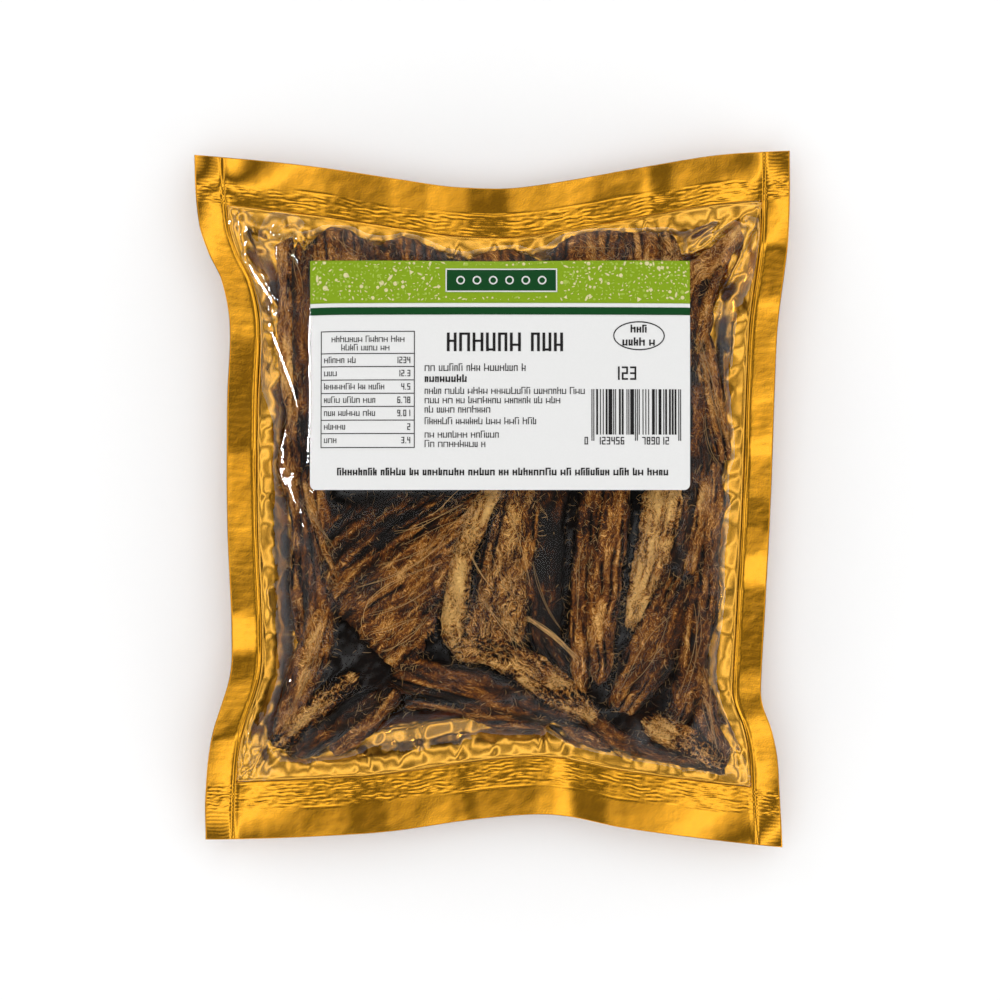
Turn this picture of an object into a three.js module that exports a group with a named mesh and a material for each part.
import * as THREE from "three";

// A flat pouch full of dried herring pieces, with a paper label on its clear front.
// It lies on its back on a table: x across, y towards the pouch's top edge, z up, millimetres.
// The origin is under the middle of the pouch, on the table.

// The sheets before filling, and the four heat seals that join them.
const POUCH_WIDTH = 212;
const POUCH_HEIGHT = 248;
const HALF_WIDTH = POUCH_WIDTH / 2;
const HALF_HEIGHT = POUCH_HEIGHT / 2;
const SEALS = { left: 10.7, right: 10, bottom: 20.5, top: 17.5 };
const SEAL_THICKNESS = 0.6;
const SEAL_LEVEL = 16;

// The filled pocket: how far each sheet stands off the seals, and over what run it gets there.
const FRONT_RISE = 23.5;
const FRONT_CROWN = 7;
const FRONT_RUN = { left: 33, right: 29, bottom: 34, top: 17 };
const BACK_DROP = 22;
const BACK_RUN = { left: 38, right: 36, bottom: 42, top: 36 };
const SHOULDER_FULLNESS = 0.75;

// Filling the pouch draws its edges in. Each pair is a place along the edge, from -1 to 1,
// and how far the edge lies inside the straight line between the sheet's corners.
const LEFT_DRAW = [
  [-1, 4], [-0.87, 4.4], [-0.7, 6.9], [-0.52, 13.3], [-0.4, 13.9], [-0.06, 12.2],
  [0.28, 12.2], [0.5, 13.2], [0.63, 10.4], [0.71, 5.8], [0.8, 2.3], [1, 0],
];
const RIGHT_DRAW = [
  [-1, 2.6], [-0.83, 4], [-0.74, 4.8], [-0.66, 6.9], [-0.59, 10], [-0.54, 10.6],
  [-0.31, 9], [0.03, 6.9], [0.3, 5.9], [0.5, 4.8], [0.71, 1.6], [0.84, 0.5], [1, 0],
];
const TOP_DRAW = [
  [-1, 1.5], [-0.61, 5.8], [-0.31, 10.4], [-0.15, 12.9], [0, 13.7],
  [0.1, 13.2], [0.28, 10.4], [0.5, 6.3], [0.75, 2], [1, 0],
];
const BOTTOM_DRAW = [
  [-1, 2.8], [-0.6, 4.4], [-0.36, 6.1], [-0.06, 10.4], [0.15, 12.1],
  [0.27, 11.1], [0.44, 7.5], [0.7, 3.8], [1, 0],
];

// The seals ripple, because their edges keep the length that the draw took away.
// Each pair is a place along the edge and the height of the edge there above the seal level.
const LEFT_RIPPLE = [
  [-1, 0], [-0.72, 1.4], [-0.52, -1.4], [-0.39, 2], [-0.26, -1.6], [0, 1.4],
  [0.3, -1.6], [0.58, 1.5], [0.84, -1], [1, 0],
];
const RIGHT_RIPPLE = [
  [-1, 0], [-0.76, 1.2], [-0.6, -1.5], [-0.4, -0.6], [-0.2, 2], [-0.05, -1.8],
  [0.14, 1.6], [0.4, -1.2], [0.58, 2], [0.76, -1.2], [1, 0.5],
];
const TOP_RIPPLE = [
  [-1, 0], [-0.8, 1.6], [-0.6, -1.2], [-0.4, 1.2], [-0.2, -2], [-0.05, 2],
  [0.06, -1.6], [0.24, 1.6], [0.44, -1.2], [0.53, 1.8], [0.62, -1.2], [0.8, 1.2], [1, 0],
];
const BOTTOM_RIPPLE = [
  [-1, 0], [-0.76, 1.4], [-0.42, -1.6], [-0.2, 1.6], [-0.04, -1.6], [0.1, 0.8],
  [0.24, 2], [0.36, -1.6], [0.6, 1.2], [0.85, -1], [1, 0.5],
];
const RIPPLE_FADE = 40;
const CORNER_DROOP = 6;
const CORNER_SHARPNESS = 6;

// The fish pieces push the front out in ridges: x and y of both ends, half width and height.
const FISH_RIDGES = [
  [-74, 86, -68, 15, 7, 3.2],
  [-70, 2, -67, -50, 8, 3.5],
  [-57, -40, -74, -82, 8, 3.5],
  [-48, -66, -60, -86, 6, 2.4],
  [-54, -16, -10, -2, 9, 2.7],
  [-48, -34, -20, -24, 8, 2.4],
  [-24, -30, -34, -60, 8, 2.2],
  [2, -6, -13, -48, 6, 2.2],
  [8, -2, 4, -48, 6, 2.7],
  [21, -2, 28, -62, 6, 2.7],
  [33, -2, 32, -62, 5, 2.4],
  [45, -2, 38, -58, 5, 2.4],
  [58, -2, 48, -38, 7, 3],
  [71, -22, 44, -70, 8, 3.8],
  [83, -30, 72, -86, 6, 3],
  [-30, -63, 16, -68, 7, 2.4],
  [-34, -73, 30, -83, 6, 2.2],
  [24, -77, 82, -94, 6, 2.7],
  [78, 58, 77, 14, 7, 3.2],
  [87, 92, 74, 70, 7, 3.2],
  [-52, 97, -52, 84, 12, 4.1],
  [-24, 95, -24, 84, 12, 3.5],
  [4, 90, 4, 80, 12, 3.5],
  [31, 96, 31, 84, 13, 4.1],
  [61, 93, 61, 82, 11, 3.2],
];

// The paper label, stuck to the front over the flattest part of the pocket.
const LABEL = { width: 131, height: 79, x: 2.8, y: 42.6, corner: 2, thickness: 0.4, gap: 0.4 };
const LABEL_BRIDGE = { start: 3, end: 12 };

// How finely each sheet is divided.
const SEAL_STEPS = 2;
const POCKET_COLUMNS = 40;
const POCKET_ROWS = 48;
const LABEL_COLUMNS = 26;
const LABEL_ROWS = 18;
const CORNER_STEPS = 2;
const EDGE_CROWDING = 0.55;
const PLACING_ROUNDS = 12;

const mix = THREE.MathUtils.lerp;
const clamp01 = (value) => THREE.MathUtils.clamp(value, 0, 1);

// A smooth curve through [place, value] pairs: cubic pieces whose slopes follow the neighbours.
function through(points, place) {
  let k = 0;
  while (k < points.length - 2 && place > points[k + 1][0]) k += 1;
  const slope = (i) => {
    const before = points[Math.max(i - 1, 0)];
    const after = points[Math.min(i + 1, points.length - 1)];
    return (after[1] - before[1]) / (after[0] - before[0]);
  };
  const [start, startValue] = points[k];
  const [end, endValue] = points[k + 1];
  const span = end - start;
  const f = clamp01((place - start) / span);
  const rise = endValue - startValue;
  const bend = (slope(k) * span - rise) * (1 - f) + (rise - slope(k + 1) * span) * f;
  return startValue + f * rise + f * (1 - f) * bend;
}

// Where the filled pouch's four edges run, for a place x, y on the flat sheet.
function edges(flatX, flatY) {
  const s = flatX / HALF_WIDTH;
  const t = flatY / HALF_HEIGHT;
  return {
    left: through(LEFT_DRAW, t) - HALF_WIDTH,
    right: HALF_WIDTH - through(RIGHT_DRAW, t),
    bottom: through(BOTTOM_DRAW, s) - HALF_HEIGHT,
    top: HALF_HEIGHT - through(TOP_DRAW, s),
  };
}

// One coordinate of the drawn-in sheet: the seals keep their width, the pocket shrinks between them.
function drawIn(flat, half, low, high, lowSeal, highSeal) {
  if (flat < lowSeal - half) return low + flat + half;
  if (flat > half - highSeal) return high + flat - half;
  const across = (flat + half - lowSeal) / (2 * half - lowSeal - highSeal);
  return mix(low + lowSeal, high - highSeal, across);
}

// The way back, from the drawn-in pocket to the flat sheet.
function drawOut(place, half, low, high, lowSeal, highSeal) {
  const across = (place - low - lowSeal) / (high - highSeal - low - lowSeal);
  return mix(lowSeal - half, half - highSeal, across);
}

function placeOnPouch(flatX, flatY) {
  const edge = edges(flatX, flatY);
  return [
    drawIn(flatX, HALF_WIDTH, edge.left, edge.right, SEALS.left, SEALS.right),
    drawIn(flatY, HALF_HEIGHT, edge.bottom, edge.top, SEALS.bottom, SEALS.top),
  ];
}

function placeOnSheet(x, y) {
  let flatX = x;
  let flatY = y;
  for (let round = 0; round < PLACING_ROUNDS; round += 1) {
    const edge = edges(flatX, flatY);
    flatX = drawOut(x, HALF_WIDTH, edge.left, edge.right, SEALS.left, SEALS.right);
    flatY = drawOut(y, HALF_HEIGHT, edge.bottom, edge.top, SEALS.bottom, SEALS.top);
  }
  return [flatX, flatY];
}

// Distance of a place from each edge of the drawn-in pouch.
function distances(flatX, flatY) {
  const edge = edges(flatX, flatY);
  const [x, y] = placeOnPouch(flatX, flatY);
  return { left: x - edge.left, right: edge.right - x, bottom: y - edge.bottom, top: edge.top - y };
}

// How full the pocket is at a place: 0 on the seals, 1 past the shoulders of all four sides.
function fullness(distance, run) {
  let full = 1;
  for (const side of Object.keys(SEALS)) {
    const up = clamp01((distance[side] - SEALS[side]) / run[side]);
    full *= Math.sin((up * Math.PI) / 2) ** SHOULDER_FULLNESS;
  }
  return full;
}

// The level of the seals, carried on into the pocket where the ripples die away.
function sealLevel(flatX, flatY, distance) {
  const s = flatX / HALF_WIDTH;
  const t = flatY / HALF_HEIGHT;
  const near = (side) => (1 - clamp01(distance[side] / RIPPLE_FADE)) ** 2;
  const ripple =
    near("left") * through(LEFT_RIPPLE, t) +
    near("right") * through(RIGHT_RIPPLE, t) +
    near("bottom") * through(BOTTOM_RIPPLE, s) +
    near("top") * through(TOP_RIPPLE, s);
  return SEAL_LEVEL + ripple - CORNER_DROOP * Math.abs(s * t) ** CORNER_SHARPNESS;
}

// The height of the fish ridges at x, y: the highest one wins, with a soft hand-over.
function fishRelief(x, y) {
  let sum = 0;
  for (const [x0, y0, x1, y1, halfWidth, height] of FISH_RIDGES) {
    const alongX = x1 - x0;
    const alongY = y1 - y0;
    const along = clamp01(((x - x0) * alongX + (y - y0) * alongY) / (alongX ** 2 + alongY ** 2));
    const away = Math.hypot(x - x0 - along * alongX, y - y0 - along * alongY) / halfWidth;
    sum += (height * Math.exp(-(away ** 2))) ** 3;
  }
  return Math.cbrt(sum);
}

// 1 clear of the label, 0 under it, where the stiff paper bridges the ridges.
function clearOfLabel(x, y) {
  const outX = Math.abs(x - LABEL.x) - LABEL.width / 2;
  const outY = Math.abs(y - LABEL.y) - LABEL.height / 2;
  return THREE.MathUtils.smoothstep(Math.max(outX, outY), LABEL_BRIDGE.start, LABEL_BRIDGE.end);
}

function frontHeight(flatX, flatY) {
  const distance = distances(flatX, flatY);
  const [x, y] = placeOnPouch(flatX, flatY);
  const full = fullness(distance, FRONT_RUN);
  const crown = FRONT_CROWN * Math.max(0, 1 - (x / HALF_WIDTH) ** 2 - (y / HALF_HEIGHT) ** 2);
  const relief = fishRelief(x, y) * clearOfLabel(x, y);
  const level = sealLevel(flatX, flatY, distance) + SEAL_THICKNESS / 2;
  return level + full * (FRONT_RISE + crown + relief);
}

// The back sags until the table stops it, so its middle is flat.
function backHeight(flatX, flatY) {
  const distance = distances(flatX, flatY);
  const level = sealLevel(flatX, flatY, distance) - SEAL_THICKNESS / 2;
  return Math.max(0, level - BACK_DROP * fullness(distance, BACK_RUN));
}

// Grid lines across the flat sheet: a few in each seal, and in the pocket closer near the seals.
function sheetLines(half, lowSeal, highSeal, pocketSteps) {
  const lines = [];
  for (let i = 0; i < SEAL_STEPS; i += 1) lines.push(-half + (lowSeal * i) / SEAL_STEPS);
  for (let i = 0; i <= pocketSteps; i += 1) {
    const even = i / pocketSteps;
    const crowded = (1 - Math.cos(Math.PI * even)) / 2;
    lines.push(mix(lowSeal - half, half - highSeal, mix(even, crowded, EDGE_CROWDING)));
  }
  for (let i = 1; i <= SEAL_STEPS; i += 1) lines.push(half - highSeal + (highSeal * i) / SEAL_STEPS);
  return lines;
}

// A closed body between two grids of points with the same rim: upper face, lower face and walls.
function closedSheet(columns, rows, upperPoint, lowerPoint) {
  const points = [];
  for (const pointAt of [upperPoint, lowerPoint]) {
    for (let r = 0; r < rows; r += 1) {
      for (let c = 0; c < columns; c += 1) points.push(...pointAt(c, r));
    }
  }
  const lower = columns * rows;
  const index = [];
  const quad = (a, b, c, d) => index.push(a, b, c, a, c, d);
  for (let r = 0; r < rows - 1; r += 1) {
    for (let c = 0; c < columns - 1; c += 1) {
      const a = r * columns + c;
      quad(a, a + 1, a + 1 + columns, a + columns);
      quad(lower + a + columns, lower + a + columns + 1, lower + a + 1, lower + a);
    }
  }
  const wall = (a, b) => quad(a, lower + a, lower + b, b);
  const lastRow = (rows - 1) * columns;
  for (let c = 0; c < columns - 1; c += 1) {
    wall(c, c + 1);
    wall(lastRow + c + 1, lastRow + c);
  }
  for (let r = 0; r < rows - 1; r += 1) {
    wall((r + 1) * columns, r * columns);
    wall(r * columns + columns - 1, (r + 1) * columns + columns - 1);
  }
  const geometry = new THREE.BufferGeometry();
  geometry.setAttribute("position", new THREE.Float32BufferAttribute(points, 3));
  geometry.setIndex(index);
  geometry.computeVertexNormals();
  return geometry;
}

function pouchGeometry() {
  const xs = sheetLines(HALF_WIDTH, SEALS.left, SEALS.right, POCKET_COLUMNS);
  const ys = sheetLines(HALF_HEIGHT, SEALS.bottom, SEALS.top, POCKET_ROWS);
  const point = (heightAt) => (c, r) => [...placeOnPouch(xs[c], ys[r]), heightAt(xs[c], ys[r])];
  return closedSheet(xs.length, ys.length, point(frontHeight), point(backHeight));
}

// Heights of the label's grid lines: a few close ones round each corner, even ones between.
function labelLines() {
  const half = LABEL.height / 2;
  const lines = [];
  for (let i = 0; i < CORNER_STEPS; i += 1) {
    lines.push(-half + LABEL.corner * (1 - Math.cos((i * Math.PI) / 2 / CORNER_STEPS)));
  }
  for (let i = 0; i <= LABEL_ROWS; i += 1) {
    lines.push(mix(LABEL.corner - half, half - LABEL.corner, i / LABEL_ROWS));
  }
  for (let i = CORNER_STEPS - 1; i >= 0; i -= 1) lines.push(-lines[i]);
  return lines;
}

// The label lies on the front and follows its curve, with rounded corners.
function labelGeometry() {
  const lines = labelLines();
  const columns = LABEL_COLUMNS + 1;
  const point = (lift) => (c, r) => {
    const intoCorner = Math.max(0, Math.abs(lines[r]) - LABEL.height / 2 + LABEL.corner);
    const inset = LABEL.corner - Math.sqrt(LABEL.corner ** 2 - intoCorner ** 2);
    const half = LABEL.width / 2 - inset;
    const x = LABEL.x + mix(-half, half, c / LABEL_COLUMNS);
    const y = LABEL.y + lines[r];
    return [x, y, frontHeight(...placeOnSheet(x, y)) + lift];
  };
  const upper = point(LABEL.gap + LABEL.thickness);
  return closedSheet(columns, lines.length, upper, point(LABEL.gap));
}

function subPart(name, geometry, colour, roughness, metalness) {
  const material = new THREE.MeshStandardMaterial({ color: colour, roughness, metalness });
  const mesh = new THREE.Mesh(geometry, material);
  mesh.name = name;
  return mesh;
}

const group = new THREE.Group();
group.name = "dried_herring_pouch";
group.add(subPart("bag", pouchGeometry(), 0xc89123, 0.3, 0.6));
group.add(subPart("label", labelGeometry(), 0xececec, 0.6, 0));

export default group;
